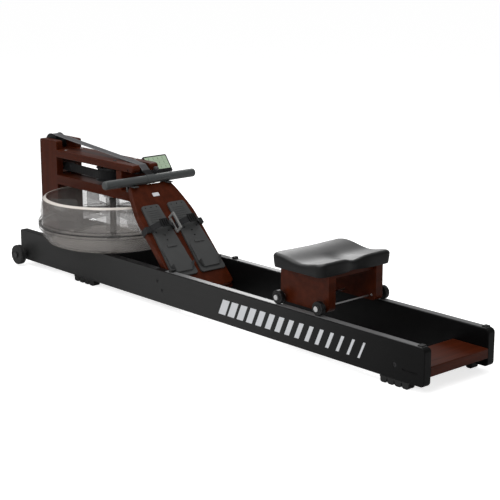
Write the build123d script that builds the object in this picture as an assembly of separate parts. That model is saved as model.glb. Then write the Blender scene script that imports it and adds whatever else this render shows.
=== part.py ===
from build123d import *
import math
import os

# Rowing machine with a water tank.
# +X runs from the tank to the rear end, +Y to the rower's right, +Z up, floor at z = 0 (mm).

# ---------------- driving dimensions ----------------
FOOT_H = 20.0                      # rubber feet under the rails
RAIL_X0, RAIL_X1 = -1036.5, 1043.5
RAIL_H, RAIL_T, RAIL_IN = 116.0, 30.0, 128.0
RAIL_OUT = RAIL_IN + RAIL_T
RAIL_TOP = FOOT_H + RAIL_H
TRACK_T = 1.5

LEG_X0, LEG_X1, LEG_TOP = -1026.5, -915.5, 486.0
LEG_IN, LEG_OUT = 30.0, 58.0
LOWER_DECK = (320.0, 355.0)
TOP_DECK = (424.0, 452.5)
DECK_END = -430.0

TANK_X, TANK_BOTTOM, TANK_TOP = -636.5, 138.0, 312.0
TANK_R, FLANGE_R, TANK_WALL = 272.0, 278.5, 4.0
SEAM_Z = 210.0

BOARD_ANGLE = 45.7                 # footboard slope below the horizontal
BOARD_TOP = (-401.5, 382.0)        # top front corner, x and z
BOARD_LEN, BOARD_T = 448.0, 20.0
BOARD_HEAD = -5.0                  # top edge of the footboard, along its slope

HANDLE_X, HANDLE_Z, HANDLE_R, HANDLE_HALF = -406.5, 402.0, 15.5, 205.0
ROLLER = (-460.0, 431.0, 17.0)     # x, z, radius
PULLEY = (-1003.0, 465.0, 33.0)
IDLER = (-1018.0, 402.0, 18.0)
STRAP_W, STRAP_T = 32.0, 2.5
DRUM_R, DRUM_Z0, DRUM_Z1 = 50.0, 372.0, 414.0
SPOOL_R = 30.0                     # recoil cord spool under the drum
SHAFT_R = 12.0

SEAT_X0, SEAT_X1 = 413.5, 625.5
SEAT_WHEELS = (429.0, 606.5)
SEAT_WHEEL_R, SEAT_WHEEL_W, SEAT_WHEEL_Y = 22.0, 16.0, 143.0
SEAT_AXLE_Z = RAIL_TOP + TRACK_T + 0.3 + SEAT_WHEEL_R
SEAT_BOARD = (143.0, 258.0)        # bottom and top of the seat's side boards
CUSHION_TOP = 301.0

WHEEL_X, WHEEL_Z, WHEEL_R = -1005.5, 44.0, 38.0   # transport wheels
AXLE_GAP = 0.05                    # running clearance of every wheel on its bolt

os.makedirs("parts", exist_ok=True)


# ---------------- helpers ----------------
def block(x, y, z):
    """Box from (low, high) pairs."""
    size = [b - a for a, b in (x, y, z)]
    mid = [(a + b) / 2 for a, b in (x, y, z)]
    return Pos(*mid) * Box(*size)


def rod(r, y, x, z):
    """Cylinder along Y between the two values in y."""
    return Pos(x, (y[0] + y[1]) / 2, z) * Rot(90, 0, 0) * Cylinder(r, y[1] - y[0])


def post(r, z, x=0.0, y=0.0):
    """Cylinder along Z between the two values in z."""
    return Pos(x, y, (z[0] + z[1]) / 2) * Cylinder(r, z[1] - z[0])


def soften(shape, length, edges=None):
    """Round the edges, falling back to smaller radii."""
    for r in (length, length * 0.6, length * 0.3):
        try:
            return fillet(edges if edges is not None else shape.edges(), r)
        except Exception:
            continue
    return shape


def both(make):
    """Left and right copies of make(side)."""
    return [make(-1), make(1)]


def save(shape, node):
    solids = shape if isinstance(shape, list) else [shape]
    flat = [s for item in solids for s in item.solids()]
    out = flat[0] if len(flat) == 1 else Compound(children=flat)
    export_step(out, f"parts/{node}.step")


def mirrored(side, low, high):
    """A y range given on the right side, placed on the asked side."""
    return (low, high) if side > 0 else (-high, -low)


SIDES = {-1: "left", 1: "right"}
BOARD_PLANE = Plane(origin=(BOARD_TOP[0], 0, BOARD_TOP[1]),
                    x_dir=(math.cos(math.radians(BOARD_ANGLE)), 0, -math.sin(math.radians(BOARD_ANGLE))),
                    z_dir=(math.sin(math.radians(BOARD_ANGLE)), 0, math.cos(math.radians(BOARD_ANGLE))))


def on_board(shape):
    """Place a shape drawn as (down the board, across, out of the board) on the footboard."""
    return BOARD_PLANE.location * shape


def board_outline():
    """Outline of the footboard: narrow at the top, curved sides, rounded lower corners."""
    head, top, wide, low, r = BOARD_HEAD, 89.0, 126.0, BOARD_LEN, 18.0
    right = Spline((head, top), (86, 117.0), (150, wide), tangents=((1, 0.5), (1, 0)))
    left = Spline((head, -top), (86, -117.0), (150, -wide), tangents=((1, -0.5), (1, 0)))
    edges = [right, left, Line((head, -top), (head, top)), Line((150, wide), (low - r, wide)),
             Line((150, -wide), (low - r, -wide)), Line((low, wide - r), (low, -wide + r)),
             RadiusArc((low - r, wide), (low, wide - r), r), RadiusArc((low, -wide + r), (low - r, -wide), r)]
    return make_face(edges)


# ---------------- rails, feet and spacers ----------------
def rail(side):
    y = mirrored(side, RAIL_IN, RAIL_OUT)
    body = block((RAIL_X0, RAIL_X1), y, (FOOT_H, RAIL_TOP))
    ends = body.edges().filter_by(Axis.Y)
    front_top = ends.filter_by(lambda e: e.center().X < 0 and e.center().Z > 100)
    body = fillet(front_top, 8)
    others = body.edges().filter_by(Axis.Y).filter_by(
        lambda e: abs(e.length - RAIL_T) < 0.1 and (e.center().X > 1000 or e.center().Z < 30))
    body = fillet(others, 14)
    longs = body.edges().filter_by(Axis.X).filter_by(lambda e: e.length > 1500)
    body = fillet(longs, 3)
    for x, z in RAIL_BOLTS:
        out = RAIL_OUT * side
        body -= rod(7.2, sorted((out - side * 4, out + side * 1)), x, z)
    slot_y = mirrored(side, RAIL_OUT - 1.5, RAIL_OUT + 1)
    body -= block(RAIL_SLOT, slot_y, (55.5, 60.5))
    body -= rod(6.0, mirrored(side, RAIL_IN - 1, RAIL_OUT + 1), WHEEL_X, WHEEL_Z)
    return body


RAIL_BOLTS = [(-140.5, 68.0), (-166.5, 97.0), (931.5, 64.0)]
RAIL_SLOT = (962.0, 1018.0)        # shallow slot milled near the rear end

for s in (-1, 1):
    save(rail(s), f"rail_{SIDES[s]}")


def track(side):
    y = mirrored(side, RAIL_IN + 4, RAIL_OUT - 4)
    return block((-130, RAIL_X1 - 14), y, (RAIL_TOP, RAIL_TOP + TRACK_T))


save(both(track), "rail_tracks")


def foot(side, x0, x1):
    """Rubber foot: a strip under the rail with four round-edged lobes."""
    y = mirrored(side, RAIL_IN + 1, RAIL_OUT - 1)
    body = block((x0, x1), y, (FOOT_H - 5, FOOT_H))
    pitch = (x1 - x0) / 4
    for i in range(4):
        lobe = block((x0 + i * pitch + 2, x0 + (i + 1) * pitch - 2), y, (0, FOOT_H - 4))
        body += fillet(lobe.edges().filter_by(Axis.Y).group_by(Axis.Z)[0], 7)
    return body


save([foot(s, -675, -550) for s in (-1, 1)], "feet_front")
save([foot(s, 875, 987) for s in (-1, 1)], "feet_rear")

SPACER_Z = (47.0, 78.0)
front_spreader = block((-1034, -898), (-RAIL_IN, RAIL_IN), SPACER_Z)
rear_spacer = block((908, 1043), (-RAIL_IN, RAIL_IN), SPACER_Z)
save(soften(front_spreader, 2, front_spreader.edges().filter_by(Axis.Y)), "front_spreader")
save(soften(rear_spacer, 3, rear_spacer.edges().filter_by(Axis.Y)), "rear_spacer")

# beam between the rails that the footboard leans on
beam = block((-210, -100), (-RAIL_IN, RAIL_IN), (40, 124))
behind = on_board(block((-100, 700), (-400, 400), (-BOARD_T, 400)))
save(beam - behind, "foot_spreader")


# ---------------- legs, decks and front panel ----------------
def leg(side):
    y = mirrored(side, LEG_IN, LEG_OUT)
    body = block((LEG_X0, LEG_X1), y, (SPACER_Z[1], LEG_TOP))
    body = fillet(body.edges().filter_by(Axis.Y).group_by(Axis.Z)[-1], 8)
    body -= rod(5.0, mirrored(side, LEG_IN - 1, LEG_OUT - 4), PULLEY[0], PULLEY[1])
    body -= rod(5.0, mirrored(side, LEG_IN - 1, LEG_OUT - 4), IDLER[0], IDLER[1])
    body -= Pos(LEG_X1, side * (LEG_IN + LEG_OUT) / 2, 313) * Rot(0, 90, 0) * Cylinder(6, 16)
    return body


for s in (-1, 1):
    save(leg(s), f"leg_{SIDES[s]}")

PANEL_X = (-935.0, -917.0)
panel = block(PANEL_X, (-LEG_IN, LEG_IN), (SPACER_Z[1], LOWER_DECK[0]))
save(panel, "front_panel")

# both decks run between the legs and back to the footboard
DECK_X0 = LEG_X1


def deck(z, x1):
    body = block((DECK_X0, x1), (-LEG_OUT, LEG_OUT), z)
    tongue = block((LEG_X1 - 44, LEG_X1 + 1), (-LEG_IN, LEG_IN), z)
    return body + tongue


top_deck = deck(TOP_DECK, DECK_END)
slot = block((-520, DECK_END + 20), (-25, 25), (TOP_DECK[0] - 1, TOP_DECK[1] + 1))
slot = fillet(slot.edges().filter_by(Axis.Z).group_by(Axis.X)[0], 12)
top_deck -= slot
tips = top_deck.edges().filter_by(Axis.Y).filter_by(lambda e: e.center().X > DECK_END - 1)
top_deck = fillet(tips, 13)
top_deck = soften(top_deck, 3, top_deck.edges().filter_by(Axis.X).filter_by(
    lambda e: e.length > 300 and e.center().Z > TOP_DECK[1] - 1))
for s in (-1, 1):
    top_deck -= rod(5.0, mirrored(s, 24, 60), ROLLER[0], ROLLER[1])
save(top_deck, "top_deck")

lower_deck = deck(LOWER_DECK, -330)
lower_deck -= behind
lower_deck -= post(22, (LOWER_DECK[0] - 1, LOWER_DECK[1] + 1), TANK_X)
save(lower_deck, "lower_deck")

end_block = block((-532, -500), (-LEG_OUT, LEG_OUT), (LOWER_DECK[1], TOP_DECK[0]))
save(soften(end_block, 2, end_block.edges().filter_by(Axis.Z)), "end_block")

# ---------------- footboard and what is on it ----------------
board = extrude(board_outline(), BOARD_T, dir=(0, 0, -1))
board = soften(board, 3, board.edges().group_by(Axis.Z)[-1])
save(on_board(board), "footboard")

badge = fillet(Box(15, 29, 1.2).edges().filter_by(Axis.Z), 3)
save(on_board(Pos(44, -2, 0.6) * badge), "footboard_badge")

STRAP_S, PLATE_T = 185.0, 7.0      # strap position down the board, foot plate thickness
STRAP_RISE = 31.0                  # height of the strap's arch over the plate


def plate_outline(side, s0, s1, grow=0.0):
    """Tapered foot shape between s0 and s1 down the board."""
    def edge(s):
        return (20 - (s - 88) * 0.04, 96 + (s - 88) * 0.078)
    pts = []
    for s, k in ((s0, 0), (s0, 1), (s1, 1), (s1, 0)):
        pts.append((s, side * (edge(s)[k] + (grow if k else -grow))))
    face = make_face(Polyline(*pts, close=True))
    return fillet(face.vertices(), 10)


def foot_plate(side):
    """Fixed foot plate with grip ribs and a row of peg holes for the heel rest."""
    body = extrude(plate_outline(side, 88, 388), PLATE_T)
    for i in range(7):
        body += Pos(112 + i * 9, side * (58 + i * 0.2), PLATE_T) * Box(3, 52, 2)
    for i in range(5):
        body -= Pos(216 + i * 22, side * 62, PLATE_T) * Cylinder(3.5, 8)
    for y in (34, 58, 82):
        body -= Pos(98, side * y, PLATE_T) * Cylinder(2.5, 6)
    return on_board(body)


HEEL_S = (262.0, 392.0)
HEEL_GAP = 0.3


def heel_rest(side):
    """Sliding heel rest: a floor over the plate and a rounded heel cup."""
    z0 = PLATE_T + HEEL_GAP
    s0, s1 = HEEL_S
    mid = side * 62.0
    floor = Pos((s0 + s1) / 2 - 10, mid, z0 + 2.5) * Box(s1 - s0 - 20, 92, 5)
    floor = fillet(floor.edges().filter_by(Axis.Z), 20)
    outer = Pos(s1 - 52, mid, 0) * Pos(0, 0, z0 + 20) * Cylinder(48, 40)
    inner = Pos(s1 - 52, mid, 0) * Pos(0, 0, z0 + 25) * Cylinder(43, 40.2)
    cup = outer - inner
    cup -= block((s0 - 60, s1 - 46), sorted((mid - 80, mid + 80)), (z0 + 5, z0 + 80))
    cut = Pos(s1 - 46, mid, z0 + 56) * Rot(0, 34, 0) * Box(170, 120, 60)
    body = floor + (cup - cut)
    body += Pos(s0 + 4, mid, z0 + 5) * Box(10, 40, 6)
    return on_board(body)


def foot_strap(side):
    """Webbing strap round the plate: flat wrap on the outer edge, arch over the foot."""
    w = 22.0
    y_in, y_out = side * 12.0, side * 108.0
    z0 = PLATE_T
    arch = Spline((y_in, z0 + 4), (side * 34, z0 + 24), (side * 62, z0 + STRAP_RISE), (side * 92, z0 + 21),
                  (y_out, z0 + 4))
    inner = Spline((y_in, z0 + 1.6), (side * 34, z0 + 21.6), (side * 62, z0 + STRAP_RISE - 2.4),
                   (side * 92, z0 + 18.6), (y_out, z0 + 1.6))
    face = make_face([arch, inner, Line(arch @ 0, inner @ 0), Line(arch @ 1, inner @ 1)])
    across = Plane(origin=(STRAP_S - w / 2, 0, 0), x_dir=(0, 1, 0), z_dir=(1, 0, 0))
    body = across.location * extrude(face, w)
    ends = [block((STRAP_S - w / 2, STRAP_S + w / 2), sorted((y_in - side * 6, y_in + side * 5)), (z0, z0 + 4)),
            block((STRAP_S - w / 2, STRAP_S + w / 2), sorted((y_out - side * 5, side * 128.5)), (z0, z0 + 3)),
            block((STRAP_S - w / 2, STRAP_S + w / 2), sorted((side * 126.2, side * 128.5)), (-BOARD_T - 2.5, z0 + 3)),
            block((STRAP_S - w / 2, STRAP_S + w / 2), sorted((side * 90, side * 128.5)), (-BOARD_T - 2.5, -BOARD_T)),
            block((STRAP_S - w / 2, STRAP_S + w / 2), sorted((side * 104, side * 128.5)), (0.0, z0))]
    plate_zone = extrude(plate_outline(side, 88, 388, 0.0), PLATE_T)
    for e in ends:
        body += e - plate_zone
    return on_board(body)


def buckle(side):
    """Ladder buckle riding on the strap's arch."""
    frame = Box(32, 34, 4)
    for i in (-1, 0, 1):
        frame -= Pos(0, i * 9.0, 0) * Box(25, 4.5, 8)
    return on_board(Pos(STRAP_S, side * 62, PLATE_T + STRAP_RISE + 2.1) * frame)


for s in (-1, 1):
    save(foot_plate(s), f"foot_plate_{SIDES[s]}")
    save(heel_rest(s), f"heel_rest_{SIDES[s]}")
    save(buckle(s), f"strap_buckle_{SIDES[s]}")

# upright webbing loop between the foot plates, part of the right strap
loop = Pos(180, 0, 18) * (Box(70, 7, 34) - Box(54, 8, 22))
loop = fillet(loop.edges().filter_by(Axis.Y), 3)
save(foot_strap(-1), "foot_strap_left")
save([foot_strap(1), on_board(loop + Pos(180, 0, 1) * Box(56, 10, 2))], "foot_strap_right")


def hook(side):
    """Bracket on the board's top edge that the handle hangs on."""
    y = mirrored(side, 66, 88)
    arm = block((-432, -424), y, (362, 404)) + block((-432, -384), y, (382.5, 386.0))
    arm += block((-432, -410), y, (362, 366))
    return arm - on_board(block((BOARD_HEAD, 400), (-200, 200), (-BOARD_T, 0)))


# rubber knob on the end of the deck's right arm
knob = Pos(DECK_END + 8.5, 42, 434) * Rot(0, 90, 0) * fillet(Cylinder(6.5, 17).edges().group_by(Axis.Z)[-1], 3)
save(both(hook) + [knob], "handle_hooks")


# ---------------- water tank ----------------
def shell_profile(offset, upper):
    """Half profile of one tank shell at an inward offset: list of edges."""
    r = TANK_R - offset
    if upper:
        top = TANK_TOP - offset
        wall = Bezier((r, 0, SEAM_Z + 1), (r, 0, 272), (r - 2, 0, 295 - offset / 2), (r - 15, 0, top - 5))
        lip = Bezier((r - 15, 0, top - 5), (r - 18, 0, top - 1), (r - 21, 0, top), (r - 27, 0, top))
        return [wall, lip], top
    base = TANK_BOTTOM + offset
    wall = Bezier((r, 0, SEAM_Z), (r, 0, 172), (r - 14, 0, base), (r - 58, 0, base))
    return [wall], base


def shell(upper):
    seam = SEAM_Z + 1 if upper else SEAM_Z
    solids = []
    for offset in (0.0, TANK_WALL):
        edges, end_z = shell_profile(offset, upper)
        last = edges[-1] @ 1
        edges = edges + [Line(last, (0, 0, end_z)), Line((0, 0, end_z), (0, 0, seam)),
                         Line((0, 0, seam), edges[0] @ 0)]
        solids.append(revolve(make_face(edges), Axis.Z, 360))
    body = solids[0] - solids[1]
    z = (seam, seam + 12) if upper else (seam - 12, seam)
    body += post(FLANGE_R, z) - post(TANK_R - TANK_WALL, (z[0] - 1, z[1] + 1))
    if upper:
        body += post(34, (TANK_TOP - 6, LOWER_DECK[0])) - post(20, (TANK_TOP - 8, LOWER_DECK[0] + 1))
        body -= post(20, (TANK_TOP - 8, LOWER_DECK[0] + 1))
        body -= post(14, (TANK_TOP - 8, TANK_TOP + 1), -60, 150)
    else:
        body += post(26, (TANK_BOTTOM - 2, TANK_BOTTOM + 18)) - post(SHAFT_R + AXLE_GAP, (146, 190))
        for i in range(8):
            rib = Rot(0, 0, 45 * i + 22.5) * Pos(72, 0, TANK_BOTTOM - 2) * Box(96, 5, 5)
            body += rib
    return Pos(TANK_X, 0, 0) * body


tank_upper = shell(True)
save(tank_upper, "tank_upper_shell")
save(shell(False), "tank_lower_shell")
gasket = post(FLANGE_R - 1, (SEAM_Z, SEAM_Z + 1)) - post(TANK_R - TANK_WALL, (SEAM_Z - 1, SEAM_Z + 2))
save(Pos(TANK_X, 0, 0) * gasket, "tank_seal")

plug = post(14, (TANK_TOP - 4, TANK_TOP), TANK_X - 60, 150) + post(19, (TANK_TOP, TANK_TOP + 4), TANK_X - 60, 150)
save(plug, "fill_plug")


def tank_pad(side, x):
    return block((x - 20, x + 20), mirrored(side, RAIL_IN + 2, RAIL_OUT - 2), (RAIL_TOP, TANK_BOTTOM))


save([tank_pad(s, TANK_X + dx) for s in (-1, 1) for dx in (-130, 130)], "tank_pads")

# bearing pressed in the lower deck, with a sleeve down into the tank neck
bearing = post(22, (LOWER_DECK[0], LOWER_DECK[1])) + post(20, (TANK_TOP - 4, LOWER_DECK[0] + 1))
bearing -= post(SHAFT_R + AXLE_GAP, (TANK_TOP - 10, LOWER_DECK[1] + 1))
save(Pos(TANK_X, 0, 0) * bearing, "shaft_bearing")

# shaft, paddle and drum turn together
shaft = post(SHAFT_R, (147, DRUM_Z1 + 6))
save(Pos(TANK_X, 0, 0) * shaft, "paddle_shaft")

hub = post(26, (176, 300)) - post(SHAFT_R, (170, 306))
paddle = hub
for i in range(6):
    arm = Pos(82, 0, 252) * Box(120, 8, 26)
    blade = fillet((Pos(186, 0, 252) * Box(108, 6, 84)).edges().filter_by(Axis.Y), 16)
    paddle += Rot(0, 0, 228 + 60 * i) * (arm + blade)
save(Pos(TANK_X, 0, 0) * (paddle - post(SHAFT_R, (170, 306))), "paddle")

drum = post(DRUM_R, (DRUM_Z0, DRUM_Z1)) + post(DRUM_R + 10, (DRUM_Z0 - 3, DRUM_Z0)) \
    + post(DRUM_R + 8, (DRUM_Z1, DRUM_Z1 + 3)) + post(SPOOL_R, (DRUM_Z0 - 14, DRUM_Z0))
drum -= post(SHAFT_R, (DRUM_Z0 - 20, DRUM_Z1 + 5))
save(Pos(TANK_X, 0, 0) * drum, "drive_drum")


# ---------------- pulleys, roller and drive strap ----------------
def pulley(x, z, r, half, bore):
    """Flat belt pulley with two flanges, axis along Y."""
    body = rod(r, (-half, half), x, z)
    body += rod(r + 5, (-half, -half + 3), x, z) + rod(r + 5, (half - 3, half), x, z)
    return body - rod(bore + AXLE_GAP, (-half - 1, half + 1), x, z)


save(pulley(*PULLEY, 22, 5), "top_pulley")
save(pulley(*IDLER, 22, 5), "idler_pulley")
save(rod(ROLLER[2], (-23, 23), ROLLER[0], ROLLER[1]) - rod(5 + AXLE_GAP, (-24, 24), ROLLER[0], ROLLER[1]),
     "strap_roller")


def tangent(a, b, ra, rb, sign):
    """Outer tangent of two circles in the XZ plane on the sign side: two points."""
    dx, dz = b[0] - a[0], b[1] - a[1]
    d = math.hypot(dx, dz)
    base = math.atan2(dz, dx)
    off = math.acos((ra - rb) / d) * sign
    u = (math.cos(base + off), math.sin(base + off))
    return (a[0] + ra * u[0], a[1] + ra * u[1]), (b[0] + rb * u[0], b[1] + rb * u[1])


STRAP_GAP = 0.4
RP = PULLEY[2] + STRAP_GAP         # the strap rides just clear of each wheel
RI = IDLER[2] + STRAP_GAP
RR = ROLLER[2] + STRAP_GAP


def band(points, y_half=STRAP_W / 2):
    """Strap of constant thickness through (x, z) points: inner line and outer line."""
    face = make_face(Polyline(*[(x, 0, z) for x, z in points], close=True))
    return extrude(face, y_half, both=True)


def arc_points(c, r, a0, a1, n=26):
    return [(c[0] + r * math.cos(math.radians(a0 + (a1 - a0) * i / n)),
             c[1] + r * math.sin(math.radians(a0 + (a1 - a0) * i / n))) for i in range(n + 1)]


def angle(c, p):
    return math.degrees(math.atan2(p[1] - c[1], p[0] - c[0]))


HANDLE_PT = (HANDLE_X - 5.5, HANDLE_Z + 17)      # where the strap meets the handle clip
LEAVE = tangent(ROLLER[:2], HANDLE_PT, RR, 0.01, 1)[0]


def strap_line(extra):
    """Points of the strap's inner (extra 0) or outer line, from the idler to the roller's rear."""
    pc, ic, rc = PULLEY[:2], IDLER[:2], ROLLER[:2]
    p_up, r_up = tangent(pc, rc, RP + extra, RR + extra, 1)
    i_l, p_l = tangent(ic, pc, RI + extra, RP + extra, 1)
    line = arc_points(ic, RI + extra, 270, angle(ic, i_l) % 360)
    line += arc_points(pc, RP + extra, angle(pc, p_l) % 360, angle(pc, p_up))
    line += arc_points(rc, RR + extra, angle(rc, r_up), angle(rc, LEAVE))
    return line


main_strap = band(strap_line(0) + strap_line(STRAP_T)[::-1])

# twisted run from the idler back to the drum
z_run = IDLER[1] - RI - STRAP_T / 2
x_a, x_b = IDLER[0], TANK_X - 6
drum_y = -(DRUM_R + STRAP_GAP + STRAP_T / 2)
STRAP_Z = (DRUM_Z0 + DRUM_Z1) / 2
sections = []
steps = 16
for i in range(steps + 1):
    t = i / steps
    x = x_a + (x_b - x_a) * t
    roll = 90.0 * min(max(t - 0.0625, 0) / 0.3125, 1.0)
    z_mid = z_run + (STRAP_Z - z_run) * t
    plane = Plane(origin=(x, drum_y * t, z_mid), x_dir=(0, 1, 0), z_dir=(1, 0, 0))
    sections.append(plane * Rot(0, 0, roll) * Rectangle(STRAP_W, STRAP_T))
twist = loft(sections, ruled=True)
wrap = post(DRUM_R + STRAP_GAP + STRAP_T, (STRAP_Z - STRAP_W / 2, STRAP_Z + STRAP_W / 2), TANK_X) \
    - post(DRUM_R + STRAP_GAP, (360, 430), TANK_X)
save(main_strap + twist + wrap, "drive_strap")

# lead from the roller down to the handle clip
start = strap_line(0)[-1], strap_line(STRAP_T)[-1]
dx, dz = HANDLE_PT[0] - start[0][0], HANDLE_PT[1] - start[0][1]
lead = band([start[0], start[1], (start[1][0] + dx, start[1][1] + dz), HANDLE_PT], STRAP_W / 2)
save(lead, "strap_lead")

# recoil cord: from the spool under the drum forward to an eye between the legs
CORD_R, CORD_Z = 5.0, DRUM_Z0 - 9.0
cord_a = Vector(TANK_X, SPOOL_R + STRAP_GAP + CORD_R, CORD_Z)
cord_b = Vector(-929.5, 14, CORD_Z)
run = Plane(origin=cord_a, z_dir=cord_b - cord_a)
cord = run.location * Pos(0, 0, (cord_b - cord_a).length / 2) * Cylinder(CORD_R, (cord_b - cord_a).length)
save(cord, "recoil_cord")
eye = block((-938, -930), (6, 22), (LOWER_DECK[1], CORD_Z + 8))

# ---------------- handle ----------------
grip = rod(HANDLE_R, (-HANDLE_HALF, HANDLE_HALF), HANDLE_X, HANDLE_Z)
grip = fillet(grip.edges().filter_by(GeomType.CIRCLE), 8)
clip = rod(HANDLE_R + 1.2, (-19, 19), HANDLE_X, HANDLE_Z) - rod(HANDLE_R, (-20, 20), HANDLE_X, HANDLE_Z)
save(grip, "handle_grip")
save(clip, "handle_clip")


# ---------------- seat ----------------
def seat_side(side):
    y = mirrored(side, 90, 120)
    body = block((SEAT_X0, SEAT_X1), y, SEAT_BOARD)
    front_low = body.edges().filter_by(Axis.Y).filter_by(lambda e: e.center().Z < 150)
    body = fillet(front_low, 16)
    for x in SEAT_WHEELS:
        body -= rod(4.0, mirrored(side, 89, 121), x, SEAT_AXLE_Z)
    return body


seat_frame = seat_side(-1) + seat_side(1) + block((SEAT_X0 + 6, SEAT_X1 - 14), (-90, 90), (244, 258))
save(seat_frame, "seat_carriage")

axles = []
for s in (-1, 1):
    for x in SEAT_WHEELS:
        y0, y1 = mirrored(s, 90, SEAT_WHEEL_Y + SEAT_WHEEL_W / 2 + 1)
        head = rod(8.5, mirrored(s, SEAT_WHEEL_Y + SEAT_WHEEL_W / 2 + 1, SEAT_WHEEL_Y + SEAT_WHEEL_W / 2 + 6),
                   x, SEAT_AXLE_Z)
        spacer = rod(8, mirrored(s, 120, SEAT_WHEEL_Y - SEAT_WHEEL_W / 2 - 1), x, SEAT_AXLE_Z)
        axles.append(rod(4.0, (y0, y1), x, SEAT_AXLE_Z) + head + spacer)
rods = [rod(3.0, (-90, 90), x, 156) for x in (SEAT_WHEELS[0] + 60, SEAT_WHEELS[1] - 12)]
save(axles + rods, "seat_axles")

for s in (-1, 1):
    for name, x in zip(("front", "rear"), SEAT_WHEELS):
        y = mirrored(s, SEAT_WHEEL_Y - SEAT_WHEEL_W / 2, SEAT_WHEEL_Y + SEAT_WHEEL_W / 2)
        tyre = rod(SEAT_WHEEL_R, y, x, SEAT_AXLE_Z)
        tyre = fillet(tyre.edges().filter_by(GeomType.CIRCLE), 2)
        tyre -= rod(4.0 + AXLE_GAP, (y[0] - 1, y[1] + 1), x, SEAT_AXLE_Z)
        save(tyre, f"seat_wheel_{name}_{SIDES[s]}")

# contoured cushion: rounded slab, two sitting hollows, tailbone notch at the rear
CUSHION_X, CUSHION_HALF = (406.0, 631.0), 160.0
cushion = block(CUSHION_X, (-CUSHION_HALF, CUSHION_HALF), (258, CUSHION_TOP + 4))
cushion = fillet(cushion.edges().filter_by(Axis.Z), 24)
tail = Pos(CUSHION_X[1] + 14, 0, 280) * Cylinder(34, 80)
cushion -= tail
cushion = soften(cushion, 12, cushion.edges().group_by(Axis.Z)[-1])
for s in (-1, 1):
    cushion -= Pos(530, s * 62, CUSHION_TOP + 188) * Sphere(200)
save(cushion, "seat_cushion")


# ---------------- stops, transport wheels and bolts ----------------
def stop(side, x, height):
    return block(x, mirrored(side, RAIL_IN + 5, RAIL_OUT - 5), (RAIL_TOP + TRACK_T, RAIL_TOP + TRACK_T + height))


save([stop(s, (-110, -98), 8) for s in (-1, 1)] + [stop(s, (1012, 1028), 4) for s in (-1, 1)], "seat_stops")

for s in (-1, 1):
    y = mirrored(s, 176, 200)
    wheel = rod(WHEEL_R, y, WHEEL_X, WHEEL_Z)
    wheel = fillet(wheel.edges().filter_by(GeomType.CIRCLE), 5)
    wheel -= rod(6.0 + AXLE_GAP, (y[0] - 1, y[1] + 1), WHEEL_X, WHEEL_Z)
    save(wheel, f"transport_wheel_{SIDES[s]}")

studs = []
for s in (-1, 1):
    axle = rod(6.0, mirrored(s, RAIL_IN, 201), WHEEL_X, WHEEL_Z) \
        + rod(11, mirrored(s, RAIL_OUT, 175), WHEEL_X, WHEEL_Z) + rod(11, mirrored(s, 201, 205), WHEEL_X, WHEEL_Z)
    studs.append(axle)
    for x, z in RAIL_BOLTS:
        bolt = rod(7.2, mirrored(s, RAIL_OUT - 4, RAIL_OUT - 1.2), x, z)
        bolt -= rod(3.0, mirrored(s, RAIL_OUT - 3, RAIL_OUT), x, z)
        studs.append(bolt)
save(studs, "rail_bolts")

PIN_HALF = LEG_OUT - 4
pins = [rod(5.0, (-PIN_HALF, PIN_HALF), c[0], c[1]) for c in (PULLEY, IDLER)]
pins.append(eye)
pins.append(rod(5.0, (-LEG_OUT + 3, LEG_OUT - 3), ROLLER[0], ROLLER[1]))
pins.append(post(7, (TOP_DECK[1], TOP_DECK[1] + 2), -565, -38))
save(pins, "pulley_pins")

# ---------------- monitor ----------------
# tilts about a rod along Y that stands out of the deck's right side
MON = Plane(origin=(-508, 117, 431), x_dir=(0, 1, 0),
            z_dir=(math.sin(math.radians(52)), 0, math.cos(math.radians(52))))
CASE_T, TILT_BACK = 22.0, 31.0     # case thickness, distance of the tilt axis behind the screen face
case = fillet(Box(110, 73, CASE_T).edges().filter_by(Axis.Z), 6)
case = soften(case, 2, case.edges().group_by(Axis.Z)[-1])
case -= Pos(0, 4.5, 11) * Box(100, 54, 3)
for i in (-1, 1):
    case -= Pos(24 * i, -29, 11) * Box(22.4, 7.4, 10)
case = Pos(0, 0, -CASE_T / 2) * case
for i in (-1, 1):
    lug = Pos(26 * i, 0, -(CASE_T + TILT_BACK + 6) / 2) * Box(9, 16, TILT_BACK + 6 - CASE_T)
    case += lug
case -= Pos(0, 0, -TILT_BACK) * Rot(0, 90, 0) * Cylinder(5 + AXLE_GAP, 140)
save(MON.location * case, "monitor_case")
save(MON.location * Pos(0, 4.5, -1.0) * Box(100, 54, 1.0), "monitor_screen")
for s in (-1, 1):
    save(MON.location * Pos(24 * s, -29, -0.5) * Box(22, 7, 4), f"monitor_button_{SIDES[s]}")
tilt = MON.location * Pos(0, 0, -TILT_BACK)
tx, tz = tilt.position.X, tilt.position.Z
save(rod(5, (LEG_OUT, 155), tx, tz) + block((tx - 16, tx + 12), (LEG_OUT, 61.4), (404, 436)), "monitor_bracket")
print("tilt axis", round(tx, 2), round(tz, 2), "seat axle z", SEAT_AXLE_Z, "lead", HANDLE_PT, LEAVE)
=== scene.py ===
"""Water rowing machine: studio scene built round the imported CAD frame."""
import math

import bmesh
import bpy
from mathutils import Matrix, Vector


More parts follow.
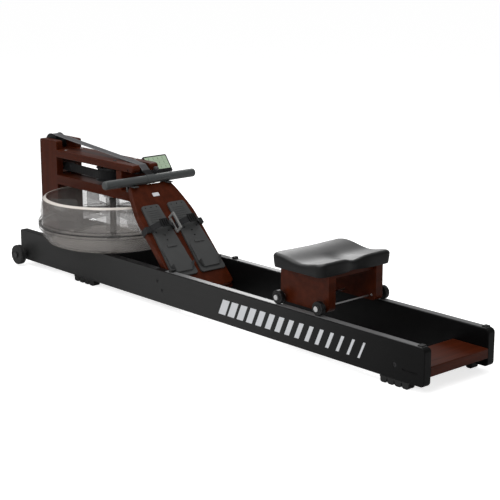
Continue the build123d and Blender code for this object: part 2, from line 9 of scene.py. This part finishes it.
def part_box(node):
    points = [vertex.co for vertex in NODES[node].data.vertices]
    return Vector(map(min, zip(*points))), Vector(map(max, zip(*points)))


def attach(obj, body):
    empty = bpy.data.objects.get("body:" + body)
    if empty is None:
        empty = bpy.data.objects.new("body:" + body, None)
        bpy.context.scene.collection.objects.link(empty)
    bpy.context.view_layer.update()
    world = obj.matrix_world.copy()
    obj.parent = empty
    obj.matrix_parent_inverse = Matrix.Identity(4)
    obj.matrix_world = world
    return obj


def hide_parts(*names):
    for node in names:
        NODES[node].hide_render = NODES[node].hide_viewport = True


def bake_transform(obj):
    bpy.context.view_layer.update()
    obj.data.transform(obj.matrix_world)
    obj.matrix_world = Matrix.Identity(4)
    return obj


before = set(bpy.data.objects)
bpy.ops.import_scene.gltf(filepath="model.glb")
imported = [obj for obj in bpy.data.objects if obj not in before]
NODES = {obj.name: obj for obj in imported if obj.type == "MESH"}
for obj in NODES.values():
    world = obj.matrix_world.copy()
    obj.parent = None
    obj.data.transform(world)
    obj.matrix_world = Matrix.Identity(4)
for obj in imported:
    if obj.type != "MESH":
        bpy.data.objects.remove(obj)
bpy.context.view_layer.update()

# ---------------- places read from the frame ----------------


def span(node):
    """Lowest and highest corner of a CAD node as vectors."""
    low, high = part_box(node)
    return Vector(low), Vector(high)


def middle(node):
    """Centre of a CAD node's box."""
    low, high = span(node)
    return (low + high) / 2


TANK_X = -0.6365
TANK_RADIUS = (span("tank_upper_shell")[1].y - span("tank_upper_shell")[0].y) / 2 - 0.0065
STRAP_HALF, STRAP_THICK = 0.0158, 0.0025
PLATE_THICK = 0.0072
WHEEL_FACE_Y = 0.1512
MONITOR_SLOPE = math.radians(52)
BOARD_SLOPE = math.radians(45.7)
DOWN_BOARD = Vector((math.cos(BOARD_SLOPE), 0, -math.sin(BOARD_SLOPE)))
OUT_OF_BOARD = Vector((math.sin(BOARD_SLOPE), 0, math.cos(BOARD_SLOPE)))
BOARD_TOP = Vector((-0.4015, 0, 0.382))
ACROSS = Vector((0, 1, 0))
UP = Vector((0, 0, 1))


def on_board(down, across, out):
    """Point at these distances down, across and out of the footboard's face."""
    return BOARD_TOP + DOWN_BOARD * down + ACROSS * across + OUT_OF_BOARD * out


# ---------------- camera ----------------
AIM = Vector((0.1345, 0, 0.235))
CAMERA_AZ, CAMERA_EL, CAMERA_DIST = math.radians(48.09), math.radians(13.51), 4.511
CAMERA_LENS = 97.05


def set_camera():
    """Studio camera off the rear left corner, a little above the seat."""
    out = Vector((math.sin(CAMERA_AZ) * math.cos(CAMERA_EL),
                  -math.cos(CAMERA_AZ) * math.cos(CAMERA_EL),
                  math.sin(CAMERA_EL)))
    data = bpy.data.cameras.new("studio_camera")
    data.lens = CAMERA_LENS
    data.sensor_width = 36
    data.clip_end = 60
    camera = bpy.data.objects.new("studio_camera", data)
    camera.location = AIM + out * CAMERA_DIST
    camera.rotation_euler = (-out).to_track_quat("-Z", "Y").to_euler()
    bpy.context.collection.objects.link(camera)
    bpy.context.scene.camera = camera


# ---------------- finishes ----------------
class Wire:
    """A socket that takes part in sums."""

    def __init__(self, finish, socket):
        self.finish = finish
        self.socket = socket

    def _sum(self, operation, first, second=None):
        return self.finish.add("ShaderNodeMath", {"operation": operation}, {0: first, 1: second})["Value"]

    def __add__(self, other):
        return self._sum("ADD", self, other)

    __radd__ = __add__

    def __mul__(self, other):
        return self._sum("MULTIPLY", self, other)

    __rmul__ = __mul__

    def __sub__(self, other):
        return self._sum("SUBTRACT", self, other)

    def __rsub__(self, other):
        return self._sum("SUBTRACT", other, self)

    def __truediv__(self, other):
        return self._sum("DIVIDE", self, other)

    def __pow__(self, other):
        return self._sum("POWER", self, other)

    def __gt__(self, other):
        return self._sum("GREATER_THAN", self, other)

    def __lt__(self, other):
        return self._sum("LESS_THAN", self, other)

    def absolute(self):
        return self._sum("ABSOLUTE", self)

    def fraction(self):
        return self._sum("FRACT", self)

    def soft_step(self, low, high):
        """0 below low, 1 above high, smooth between."""
        node = self.finish.add("ShaderNodeMapRange", {"interpolation_type": "SMOOTHSTEP"},
                               {"Value": self, "From Min": low, "From Max": high})
        return node["Result"]


class Part:
    """A shader node whose outputs are read by name as wires."""

    def __init__(self, finish, node):
        self.finish = finish
        self.node = node

    def __getitem__(self, name):
        return Wire(self.finish, self.node.outputs[name])


class Finish:
    """One material with a Principled shader."""

    def __init__(self, name, colour, roughness, **fixed):
        self.material = bpy.data.materials.new(name)
        self.material.use_nodes = True
        self.material.diffuse_color = (*colour, 1)
        self.tree = self.material.node_tree
        self.shader = self.tree.nodes["Principled BSDF"]
        self.set("Base Color", colour)
        self.set("Roughness", roughness)
        for name_, value in fixed.items():
            self.set(name_.replace("_", " "), value)

    def plug(self, socket, value):
        """Links a wire to the socket, or writes a plain value on it; None leaves it alone."""
        if value is None:
            return
        if isinstance(value, Wire):
            self.tree.links.new(value.socket, socket)
        elif isinstance(value, (tuple, list, Vector)):
            size = len(socket.default_value)
            socket.default_value = (*value, 1)[:size] if size > len(value) else tuple(value)
        else:
            socket.default_value = value

    def set(self, name, value):
        self.plug(self.shader.inputs[name], value)
        return self

    def add(self, kind, settings=None, sockets=None):
        """Any node: its settings first, then the values or links of its sockets."""
        node = self.tree.nodes.new(kind)
        for key, value in (settings or {}).items():
            setattr(node, key, value)
        for key, value in (sockets or {}).items():
            self.plug(node.inputs[key], value)
        return Part(self, node)

    def place(self):
        """Object coordinates: metres in the row frame."""
        return self.add("ShaderNodeTexCoord")["Object"]

    def axes(self):
        split = self.add("ShaderNodeSeparateXYZ", None, {0: self.place()})
        return split["X"], split["Y"], split["Z"]

    def stretched(self, scale, turn=(0, 0, 0)):
        """Object coordinates scaled along each axis, for grain that runs one way."""
        sockets = {"Vector": self.place(), "Scale": scale, "Rotation": turn}
        return self.add("ShaderNodeMapping", None, sockets)["Vector"]

    def noise(self, vector, scale, detail=4.0, rough=0.5):
        sockets = {"Vector": vector, "Scale": scale, "Detail": detail, "Roughness": rough}
        return self.add("ShaderNodeTexNoise", None, sockets)["Fac"]

    def blend(self, mask, first, second):
        """Colour mix: first where the mask is 0, second where it is 1."""
        node = self.add("ShaderNodeMix", {"data_type": "RGBA"}, {0: mask, 6: first, 7: second})
        return Wire(self, node.node.outputs[2])

    def bump(self, height, strength, distance):
        """Fine relief from a height wire."""
        sockets = {"Height": height, "Strength": strength, "Distance": distance}
        return self.set("Normal", self.add("ShaderNodeBump", None, sockets)["Normal"])


FINISHES = {}


def finish(name):
    """Each finish is made once, by its own function below."""
    if name not in FINISHES:
        FINISHES[name] = MAKERS[name]().material
    return FINISHES[name]


RED_DARK, RED_LIGHT, RED_PORE = (0.040, 0.0070, 0.0017), (0.068, 0.0125, 0.0040), (0.020, 0.0035, 0.00085)
SATIN = 0.34


def grained(name, grain_scale, turn=(0, 0, 0)):
    """Red stained timber: faint long figure and fine pores under a satin lacquer."""
    f = Finish(name, RED_DARK, SATIN, Specular_IOR_Level=0.09)
    run = f.stretched(grain_scale, turn)
    figure = f.noise(run, 1.0, 5.0, 0.6)
    pores = f.noise(run, 5.0, 2.0).soft_step(0.55, 0.75)
    colour = f.blend(figure.soft_step(0.3, 0.75), RED_DARK, RED_LIGHT)
    f.set("Base Color", f.blend(pores * 0.25, colour, RED_PORE))
    f.set("Roughness", SATIN + 0.1 * pores)
    return f.bump(figure * 0.6 - pores * 0.4, 0.1, 0.0005)


def timber_along_x():
    return grained("red timber, grain along the deck", (2.2, 34, 34))


def timber_along_z():
    return grained("red timber, upright grain", (34, 34, 2.2))


def timber_along_y():
    return grained("red timber, grain across", (34, 2.2, 34))


def timber_down_board():
    return grained("red timber, grain down the board", (2.2, 34, 34), (0, -BOARD_SLOPE, 0))


def black_rail():
    """Black lacquered timber with slanted silver bars on the outer faces; the outer faces are painted paler
    towards the tank as a painted reflection.
    """
    pale, black, silver = (0.026, 0.026, 0.026), (0.0025, 0.0025, 0.0026), (0.60, 0.61, 0.63)
    bars_start, bars_end, bar_foot, bar_head = 0.155, 0.83, 0.050, 0.102
    pitch, lean, widest, thinning = 0.045, 0.45, 0.78, 0.62
    f = Finish("black lacquered timber", black, 0.38, Specular_IOR_Level=0.10)
    x, y, z = f.axes()
    figure = f.noise(f.stretched((2.0, 40, 40)), 1.0, 4.0)
    outside = y.absolute() > 0.1575
    slant = x - (z - bar_foot) * lean
    inside = (slant > bars_start) * (slant < bars_end) * (z > bar_foot) * (z < bar_head) * outside
    along = slant - bars_start
    bar = (along / pitch).fraction() < (widest - along * (thinning / (bars_end - bars_start)))
    # painted reflection: the outer faces blend from black to the pale colour towards the tank end, standing
    # in for a softbox reflection
    painted_reflection_mask = (1 - x.soft_step(0.05, 1.1)) * outside
    ground = f.blend(painted_reflection_mask * (0.85 + 0.3 * figure), black, pale)
    f.set("Base Color", f.blend(inside * bar, ground, silver))
    f.set("Roughness", 0.34 + 0.1 * figure)
    return f.bump(figure, 0.08, 0.0005)


def track_strip():
    f = Finish("grey running strip", (0.12, 0.12, 0.122), 0.3, Specular_IOR_Level=0.3)
    wear = f.noise(f.stretched((3, 90, 3)), 1.0, 3.0)
    return f.set("Base Color", f.blend(wear, (0.10, 0.10, 0.102), (0.145, 0.145, 0.147)))


def plain_rubber():
    f = Finish("matt black rubber", (0.010, 0.010, 0.010), 0.6, Specular_IOR_Level=0.3)
    return f.bump(f.noise(f.place(), 900.0, 2.0), 0.15, 0.0004)


def grip_foam():
    f = Finish("dark grey grip rubber", (0.040, 0.044, 0.044), 0.48)
    grain = f.noise(f.place(), 650.0, 3.0)
    f.set("Base Color", f.blend(grain, (0.034, 0.038, 0.038), (0.052, 0.057, 0.057)))
    return f.bump(grain, 0.25, 0.0006)


def plate_plastic():
    f = Finish("dark grey moulded nylon", (0.040, 0.041, 0.041), 0.5)
    grain = f.noise(f.place(), 700.0, 2.0)
    f.set("Base Color", f.blend(f.noise(f.place(), 22.0), (0.034, 0.035, 0.035), (0.047, 0.048, 0.048)))
    return f.bump(grain, 0.2, 0.0005)


def black_plastic():
    f = Finish("black moulded plastic", (0.006, 0.006, 0.0063), 0.4, Specular_IOR_Level=0.22)
    return f.bump(f.noise(f.place(), 800.0, 2.0), 0.08, 0.0004)


def woven(name, dark, light, pitch):
    """Woven tape with crossing ribs; returns the finish, its colour and its axes."""
    f = Finish(name, dark, 0.7, Sheen_Weight=0.05, Specular_IOR_Level=0.15)
    warp = f.add("ShaderNodeTexWave", {"wave_type": "BANDS", "bands_direction": "Y"},
                 {"Vector": f.place(), "Scale": pitch, "Distortion": 0.0})["Fac"]
    weft = f.add("ShaderNodeTexWave", {"wave_type": "BANDS", "bands_direction": "X"},
                 {"Vector": f.place(), "Scale": pitch * 0.7, "Distortion": 0.0})["Fac"]
    weave = warp * 0.6 + weft * 0.4
    f.bump(weave, 0.5, 0.0006)
    return f, f.blend(weave, dark, light), f.axes()


def foot_webbing():
    """Black tape, and the light grey upright loop between the plates."""
    f, colour, (_, y, _) = woven("black foot webbing", (0.008, 0.008, 0.009), (0.020, 0.020, 0.021), 170)
    loop = y.absolute() < 0.0048
    return f.set("Base Color", f.blend(loop, colour, (0.20, 0.20, 0.195)))


def drive_webbing():
    """Dark grey strap over the top with pale edges; the runs below the top are painted black as painted
    shade between the decks.
    """
    dark, light, selvedge = (0.045, 0.045, 0.048), (0.075, 0.075, 0.079), (0.17, 0.17, 0.175)
    f, colour, (_, y, z) = woven("dark grey drive webbing", dark, light, 150)
    edged = f.blend(y.absolute().soft_step(0.0135, 0.0152), colour, selvedge)
    # painted shade: the same webbing is painted near black wherever it runs lower than the top, such as
    # between the decks
    over_the_top = z > 0.432
    return f.set("Base Color", f.blend(over_the_top, (0.005, 0.005, 0.0055), edged))


def smoked_clear():
    """Smoke tinted wall: clear on top, hazier down the sides, dark seam lines; the rim and the foot are
    painted pale as painted highlights.
    """
    haze, deep, clear = (0.24, 0.225, 0.215), (0.15, 0.145, 0.14), (0.05, 0.047, 0.045)
    rim_highlight, dark = (0.85, 0.79, 0.73), (0.03, 0.03, 0.03)
    f = Finish("smoke tinted polycarbonate", haze, 0.04, IOR=1.45, Specular_IOR_Level=0.5)
    x, y, z = f.axes()
    lid_edge, rim_edge = TANK_RADIUS - 0.024, TANK_RADIUS - 0.006
    reach = ((x - TANK_X) ** 2 + y ** 2) ** 0.5

    def band(low, high):
        return (z > low) * (z < high)

    lid = (z > 0.3070) * (reach < lid_edge)
    # painted highlight: the shoulder band round the lid and the band at the foot are painted pale cream and
    # made more opaque, standing in for bright reflections on the rounded edges
    shoulder_highlight = z.soft_step(0.3030, 0.3065) * (1 - lid) * (reach < rim_edge)
    foot = 1 - z.soft_step(0.141, 0.148)
    seam = band(0.2085, 0.2125)
    lips = band(0.2215, 0.2235) + band(0.1970, 0.1990)
    lower = 1 - z.soft_step(0.15, 0.20)
    body = f.blend(lid, f.blend(lower, haze, deep), clear)
    # painted highlight mask: where the pale cream is painted
    pale = shoulder_highlight + foot * 0.7
    f.set("Base Color", f.blend(seam + lips * 0.5, f.blend(pale, body, rim_highlight), dark))
    wall = 0.30 - 0.22 * lid + shoulder_highlight * 0.45 + foot * 0.25 + seam * 0.5 + lips * 0.3
    return f.set("Alpha", wall)


def plated_steel():
    return Finish("zinc plated steel", (0.55, 0.55, 0.55), 0.3, Metallic=1.0)


def blackened_steel():
    return Finish("blackened steel", (0.014, 0.014, 0.015), 0.45, Specular_IOR_Level=0.3)


def bright_badge():
    return Finish("brushed silver badge", (0.75, 0.75, 0.77), 0.4, Metallic=0.4)


def cushion_skin():
    """Skinned black foam with a faint leather grain, polished by use on the sitting face."""
    black = (0.0045, 0.0047, 0.0049)
    f = Finish("black skinned foam", black, 0.45, Specular_IOR_Level=0.22, Coat_Roughness=0.5)
    grain = {"Vector": f.place(), "Scale": 620.0}
    cells = f.add("ShaderNodeTexVoronoi", {"feature": "F1"}, grain)["Distance"]
    facing = f.add("ShaderNodeSeparateXYZ", None, {0: f.add("ShaderNodeNewGeometry")["Normal"]})["Z"]
    f.set("Coat Weight", facing.soft_step(0.5, 0.95) * 0.75)
    f.set("Roughness", 0.42 + 0.10 * f.noise(f.place(), 30.0))
    return f.bump(cells, 0.18, 0.0005)


def lcd_glass():
    f = Finish("pale green display", (0.32, 0.41, 0.29), 0.3, Specular_IOR_Level=0.2)
    # painted glow: a faint emission brightens the display, which is not a lamp
    return f.set("Emission Color", (0.30, 0.38, 0.29)).set("Emission Strength", 0.22)


def lcd_ink():
    return Finish("display segments", (0.20, 0.27, 0.19), 0.3, Specular_IOR_Level=0.1)


def paddle_plastic():
    f = Finish("clear moulded paddle", (0.16, 0.155, 0.15), 0.3, Specular_IOR_Level=0.3)
    _, _, z = f.axes()
    return f.set("Alpha", 0.30 + 0.1 * (z > 0.26))


MAKERS = {f.__name__: f for f in (
    timber_along_x, timber_along_y, timber_along_z, timber_down_board, black_rail, track_strip, plain_rubber,
    grip_foam, plate_plastic, black_plastic, foot_webbing, drive_webbing, smoked_clear,
    plated_steel, blackened_steel, bright_badge, cushion_skin, lcd_glass, lcd_ink, paddle_plastic)}


# ---------------- making pieces ----------------
def dress(obj, name):
    """Gives an object one finish."""
    obj.data.materials.clear()
    obj.data.materials.append(finish(name))


def smooth(obj, angle):
    """Smooth shading with edges sharper than the angle kept crisp."""
    for face in obj.data.polygons:
        face.use_smooth = True
    obj.data.set_sharp_from_angle(angle=math.radians(angle))


def piece(name, verts, faces, finish_name, body, angle=35):
    """Mesh object from points and faces, dressed, and riding on the body when one is given."""
    mesh = bpy.data.meshes.new(name)
    mesh.from_pydata([tuple(v) for v in verts], [], faces)
    mesh.validate()
    obj = bpy.data.objects.new(name, mesh)
    bpy.context.collection.objects.link(obj)
    built = bmesh.new()
    built.from_mesh(mesh)
    bmesh.ops.recalc_face_normals(built, faces=built.faces)
    built.to_mesh(mesh)
    built.free()
    dress(obj, finish_name)
    smooth(obj, angle)
    if body:
        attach(obj, body)
    return obj


def frame_from(direction):
    """Two directions square to this one and to each other."""
    w = Vector(direction).normalized()
    side = w.cross(UP if abs(w.z) < 0.9 else Vector((1, 0, 0))).normalized()
    return side, w.cross(side).normalized(), w


def tube_faces(rings, steps):
    """Quads between neighbouring rings of points, and a flat face over each end."""
    faces = []
    for j in range(rings - 1):
        for i in range(steps):
            k = (i + 1) % steps
            faces.append((j * steps + i, j * steps + k, (j + 1) * steps + k, (j + 1) * steps + i))
    faces.append(tuple(range(steps)))
    faces.append(tuple(range((rings - 1) * steps, rings * steps)))
    return faces


def turned(name, start, direction, profile, finish_name, body, steps):
    """Turned piece: (distance along, radius) profile about a line, closed at both ends."""
    side, lift, w = frame_from(direction)
    start = Vector(start)
    verts = []
    for along, radius in profile:
        for i in range(steps):
            a = 2 * math.pi * i / steps
            verts.append(start + w * along + (side * math.cos(a) + lift * math.sin(a)) * radius)
    piece(name, verts, tube_faces(len(profile), steps), finish_name, body)


def slab(name, centre, size, finish_name, body, axes):
    """Plain box on its own three directions."""
    mesh = bpy.data.meshes.new(name)
    built = bmesh.new()
    bmesh.ops.create_cube(built, size=1)
    place = Matrix(axes).transposed().to_4x4()
    for v in built.verts:
        v.co = Vector(centre) + place @ Vector((v.co.x * size[0], v.co.y * size[1], v.co.z * size[2]))
    bmesh.ops.recalc_face_normals(built, faces=built.faces)
    built.to_mesh(mesh)
    built.free()
    obj = bpy.data.objects.new(name, mesh)
    bpy.context.collection.objects.link(obj)
    dress(obj, finish_name)
    smooth(obj, 40)
    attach(obj, body)


# ---------------- finishes on the CAD nodes ----------------
NODE_FINISH = {
    "black_rail": ["rail_left", "rail_right"],
    "timber_along_x": ["top_deck", "lower_deck"],
    "timber_along_y": ["front_spreader", "rear_spacer", "foot_spreader", "seat_carriage"],
    "timber_along_z": ["leg_left", "leg_right", "front_panel", "end_block"],
    "timber_down_board": ["footboard"],
    "track_strip": ["rail_tracks"],
    "plain_rubber": ["feet_front", "feet_rear", "tank_pads", "tank_seal", "seat_stops", "recoil_cord",
                     "transport_wheel_left", "transport_wheel_right"],
    "grip_foam": ["handle_grip", "handle_clip"],
    "plate_plastic": ["foot_plate_left", "foot_plate_right", "heel_rest_left", "heel_rest_right",
                      "handle_hooks"],
    "black_plastic": ["drive_drum", "top_pulley", "idler_pulley", "strap_roller", "shaft_bearing",
                      "strap_buckle_left", "strap_buckle_right", "monitor_case",
                      "monitor_bracket", "monitor_button_left", "monitor_button_right",
                      "seat_wheel_front_left", "seat_wheel_front_right", "seat_wheel_rear_left",
                      "seat_wheel_rear_right"],
    "foot_webbing": ["foot_strap_left", "foot_strap_right"],
    "drive_webbing": ["drive_strap", "strap_lead"],
    "smoked_clear": ["tank_upper_shell", "tank_lower_shell"],
    "plated_steel": ["seat_axles"],
    "blackened_steel": ["paddle_shaft", "pulley_pins", "rail_bolts"],
    "bright_badge": ["footboard_badge"],
    "cushion_skin": ["seat_cushion"],
    "lcd_glass": ["monitor_screen"],
    "paddle_plastic": ["paddle", "fill_plug"],
}


def dress_nodes():
    """Puts each finish on its CAD nodes."""
    for name, nodes in NODE_FINISH.items():
        for node in nodes:
            obj = NODES[node]
            made = finish(name)
            if obj.material_slots:
                for place in obj.material_slots:
                    place.material = made
            else:
                obj.data.materials.append(made)


# ---------------- seat cushion ----------------
SEAT_DIP, SEAT_CHANNEL, SEAT_EDGE, SEAT_CORNER = 0.017, 0.013, 0.012, 0.026
SEAT_NOTCH, SEAT_NOTCH_HALF, SEAT_TUCK, SEAT_GAP = 0.014, 0.034, 0.004, 0.0004


def rounded_rectangle(half_x, half_y, radius, per_side):
    """Points round a rectangle with rounded corners, evenly spaced in each part."""
    points = []
    for quarter in range(4):
        sx, sy = ((1, 1), (-1, 1), (-1, -1), (1, -1))[quarter]
        centre = Vector((sx * (half_x - radius), sy * (half_y - radius)))
        for i in range(per_side):
            a = math.pi / 2 * (quarter + i / per_side)
            points.append(centre + Vector((math.cos(a), math.sin(a))) * radius)
        a = math.pi / 2 * (quarter + 1)
        start = centre + Vector((math.cos(a), math.sin(a))) * radius
        nx, ny = ((1, 1), (-1, 1), (-1, -1), (1, -1))[(quarter + 1) % 4]
        following = Vector((nx * (half_x - radius), ny * (half_y - radius)))
        end = following + Vector((math.cos(a), math.sin(a))) * radius
        for i in range(per_side):
            points.append(start.lerp(end, i / per_side))
    return points


def seat_height(u, y, half_y):
    """Drop of the sitting face: saddle across the middle, a channel out of the rear edge."""
    v = abs(y) / half_y
    saddle = SEAT_DIP * math.exp(-((u - 0.15) / 0.6) ** 2) * (1 - 0.1 * v * v)
    channel = SEAT_CHANNEL * math.exp(-(y / 0.030) ** 2) * max(min((u + 0.2) / 1.1, 1), 0)
    front = 0.004 * max(-u, 0) ** 3 * (1 - v)
    return saddle + channel + front


def seat_cushion():
    """Moulded foam seat: saddle hollow, raised corners and a tailbone channel at the rear."""
    low, high = span("seat_cushion")
    mid = (low + high) / 2
    half = (high - low) / 2
    inner, outer = 26, 10
    ring = rounded_rectangle(half.x, half.y, SEAT_CORNER, 16)
    steps = len(ring)
    base = low.z + SEAT_GAP

    def edge_point(p, grow):
        """Outline point with the rear notch, moved in or out."""
        q = p + p.normalized() * grow
        if q.x > 0:
            q.x -= SEAT_NOTCH * math.exp(-(q.y / SEAT_NOTCH_HALF) ** 2) * (q.x / half.x) ** 4
        return q

    verts, faces = [], []
    for j in range(1, inner + 1):
        r = math.sin(math.pi / 2 * j / inner)
        for p in ring:
            q = edge_point(p, 0)
            x, y = q.x * r, q.y * r
            top = high.z - SEAT_GAP - seat_height(x / half.x, y, half.y)
            inset = (1 - r) * min(half.x, half.y)
            roll = max(1 - inset / SEAT_EDGE, 0)
            top -= SEAT_EDGE * (1 - math.sqrt(max(1 - roll * roll, 0)))
            verts.append(Vector((mid.x + x, mid.y + y, top)))
    for k in range(1, outer + 1):
        s = k / outer
        for i, p in enumerate(ring):
            q = edge_point(p, -SEAT_TUCK * s ** 1.6)
            top = verts[(inner - 1) * steps + i].z
            verts.append(Vector((mid.x + q.x, mid.y + q.y, top + (base - top) * s)))
    rings = inner + outer
    for j in range(rings - 1):
        for i in range(steps):
            k = (i + 1) % steps
            faces.append((j * steps + i, j * steps + k, (j + 1) * steps + k, (j + 1) * steps + i))
    verts.append(Vector((mid.x, mid.y, high.z - SEAT_GAP - seat_height(0, 0, half.y))))
    faces += [(len(verts) - 1, i, (i + 1) % steps) for i in range(steps)]
    faces.append(tuple(range((rings - 1) * steps, rings * steps)))
    pad = piece("seat_pad", verts, faces, "cushion_skin", None, 180)
    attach(pad, "seat")
    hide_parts("seat_cushion")


# ---------------- drive strap between roller and handle ----------------
def strap_lead():
    """Strip from the roller to the handle clip."""
    low, high = span("strap_lead")
    start = Vector((low.x + 0.0012, 0, high.z - 0.0010))
    end = Vector((high.x + 0.0010, 0, low.z - 0.0012))
    run = (end - start).normalized()
    face = Vector((run.z, 0, -run.x))
    outline = ((-1, 0), (-0.96, 1), (0.96, 1), (1, 0), (0.96, -1), (-0.96, -1))
    verts, lengths = [], 12
    for i in range(lengths + 1):
        centre = start.lerp(end, i / lengths)
        for u, v in outline:
            verts.append(centre + ACROSS * (u * STRAP_HALF) + face * (v * STRAP_THICK / 2))
    faces = tube_faces(lengths + 1, len(outline))
    lead = piece("strap_lead_webbing", verts, faces, "drive_webbing", None, 60)
    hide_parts("strap_lead")
    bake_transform(lead)


# ---------------- small fittings ----------------
def monitor_display():
    """Ruled fields and a few plain bars on the display, riding with the case."""
    low, high = span("monitor_screen")
    mid = (low + high) / 2
    rise = Vector((-math.cos(MONITOR_SLOPE), 0, math.sin(MONITOR_SLOPE)))
    out = Vector((math.sin(MONITOR_SLOPE), 0, math.cos(MONITOR_SLOPE)))
    tall, wide = (high.z - low.z) / math.sin(MONITOR_SLOPE), high.y - low.y
    axes = (ACROSS, rise, out)
    front = mid + out * 0.0006
    rule, mark = (wide * 0.9, 0.0006, 0.0003), (0.0030, 0.0085, 0.0003)
    for i, part in enumerate((-0.17, 0.17)):
        slab(f"display_rule_{i}", front + rise * (tall * part), rule, "lcd_ink", "monitor", axes)
    for row, part in enumerate((-0.33, 0.0, 0.33)):
        for column in range(4):
            place = front + rise * (tall * part) + ACROSS * (wide * (-0.32 + 0.21 * column))
            slab(f"display_mark_{row}_{column}", place, mark, "lcd_ink", "monitor", axes)


def screw(name, place, direction, radius, body, finish_name="plated_steel"):
    """Low domed screw head."""
    dome = [(-0.0004, radius), (0.0006, radius), (0.0014, radius * 0.75), (0.0018, radius * 0.3)]
    turned(name, place, direction, dome, finish_name, body, 20)


def fittings():
    """Deck and plate screws, and a raised black ring on every seat wheel."""
    ring = [(0, 0.0145), (0.0005, 0.0145), (0.0008, 0.0125), (0.0008, 0.0095)]
    deck_screws = ((-0.885, -0.036), (-0.885, 0.036), (-0.545, 0.040))
    plate_screws_down, plate_screws_across = 0.200, (0.036, 0.092)
    deck_top = span("top_deck")[1].z
    for i, (x, y) in enumerate(deck_screws):
        screw(f"deck_screw_{i}", (x, y, deck_top), UP, 0.005, "frame")
    for side in (-1, 1):
        tag = "left" if side < 0 else "right"
        for i, across in enumerate(plate_screws_across):
            place = on_board(plate_screws_down, side * across, PLATE_THICK)
            screw(f"plate_screw_{tag}_{i}", place, OUT_OF_BOARD, 0.0035, "frame", "blackened_steel")
        for name in ("front", "rear"):
            centre = middle(f"seat_wheel_{name}_{tag}")
            face = (centre.x, side * WHEEL_FACE_Y, centre.z)
            wheel = f"seat_wheel_{name}_{tag}"
            turned(f"wheel_cap_{name}_{tag}", face, ACROSS * side, ring, "black_plastic", wheel, 32)


# ---------------- studio ----------------
FLOOR_HALF = 30
LAMPS = (
    ("softbox_top", (-0.2, -0.4, 3.2), (0, 0, 0), (3.4, 2.4), 70),
    ("softbox_left", (-3.2, -2.6, 2.0), (-0.4, 0, 0.2), (2.0, 1.4), 22),
    ("softbox_front", (1.6, -3.2, 2.3), (0, 0, 0.2), (1.5, 0.5), 32),
    ("softbox_low", (0.54, -2.65, 0.32), (-0.64, 0, 0.27), (0.5, 0.16), 7),
    ("softbox_behind", (-2.0, 2.0, 1.5), (0.45, 0, 0.28), (0.7, 0.5), 17))


def studio():
    """White paper floor, white air and five softboxes."""
    floor = bpy.data.meshes.new("studio_floor")
    corners = [(x * FLOOR_HALF, y * FLOOR_HALF, 0) for x, y in ((-1, -1), (1, -1), (1, 1), (-1, 1))]
    floor.from_pydata(corners, [], [(0, 1, 2, 3)])
    sheet = bpy.data.objects.new("studio_floor", floor)
    bpy.context.collection.objects.link(sheet)
    sheet.location.z = -0.0005
    paper = Finish("white studio paper", (0.75, 0.75, 0.75), 0.9, Specular_IOR_Level=0.0)
    seen = paper.add("ShaderNodeLightPath")["Is Camera Ray"]
    glow = paper.blend(seen, (0.0, 0.0, 0.0), (0.745, 0.745, 0.745))
    paper.set("Emission Color", glow).set("Emission Strength", 1.0)
    sheet.data.materials.append(paper.material)

    world = bpy.data.worlds.new("studio_air")
    world.use_nodes = True
    tree = world.node_tree
    seen = tree.nodes.new("ShaderNodeLightPath").outputs["Is Camera Ray"]
    level = tree.nodes.new("ShaderNodeMapRange")
    level.inputs["To Min"].default_value = 0.33
    level.inputs["To Max"].default_value = 1.0
    tree.links.new(seen, level.inputs["Value"])
    tree.nodes["Background"].inputs["Color"].default_value = (1, 1, 1, 1)
    tree.links.new(level.outputs["Result"], tree.nodes["Background"].inputs["Strength"])
    bpy.context.scene.world = world
    bpy.context.scene.view_settings.view_transform = "Standard"

    for name, place, aim, size, power in LAMPS:
        data = bpy.data.lights.new(name, "AREA")
        data.shape = "RECTANGLE"
        data.size, data.size_y = size
        data.energy = power
        lamp = bpy.data.objects.new(name, data)
        lamp.location = place
        lamp.rotation_euler = (Vector(aim) - Vector(place)).to_track_quat("-Z", "Y").to_euler()
        bpy.context.collection.objects.link(lamp)


set_camera()
dress_nodes()
seat_cushion()
strap_lead()
monitor_display()
fittings()
studio()
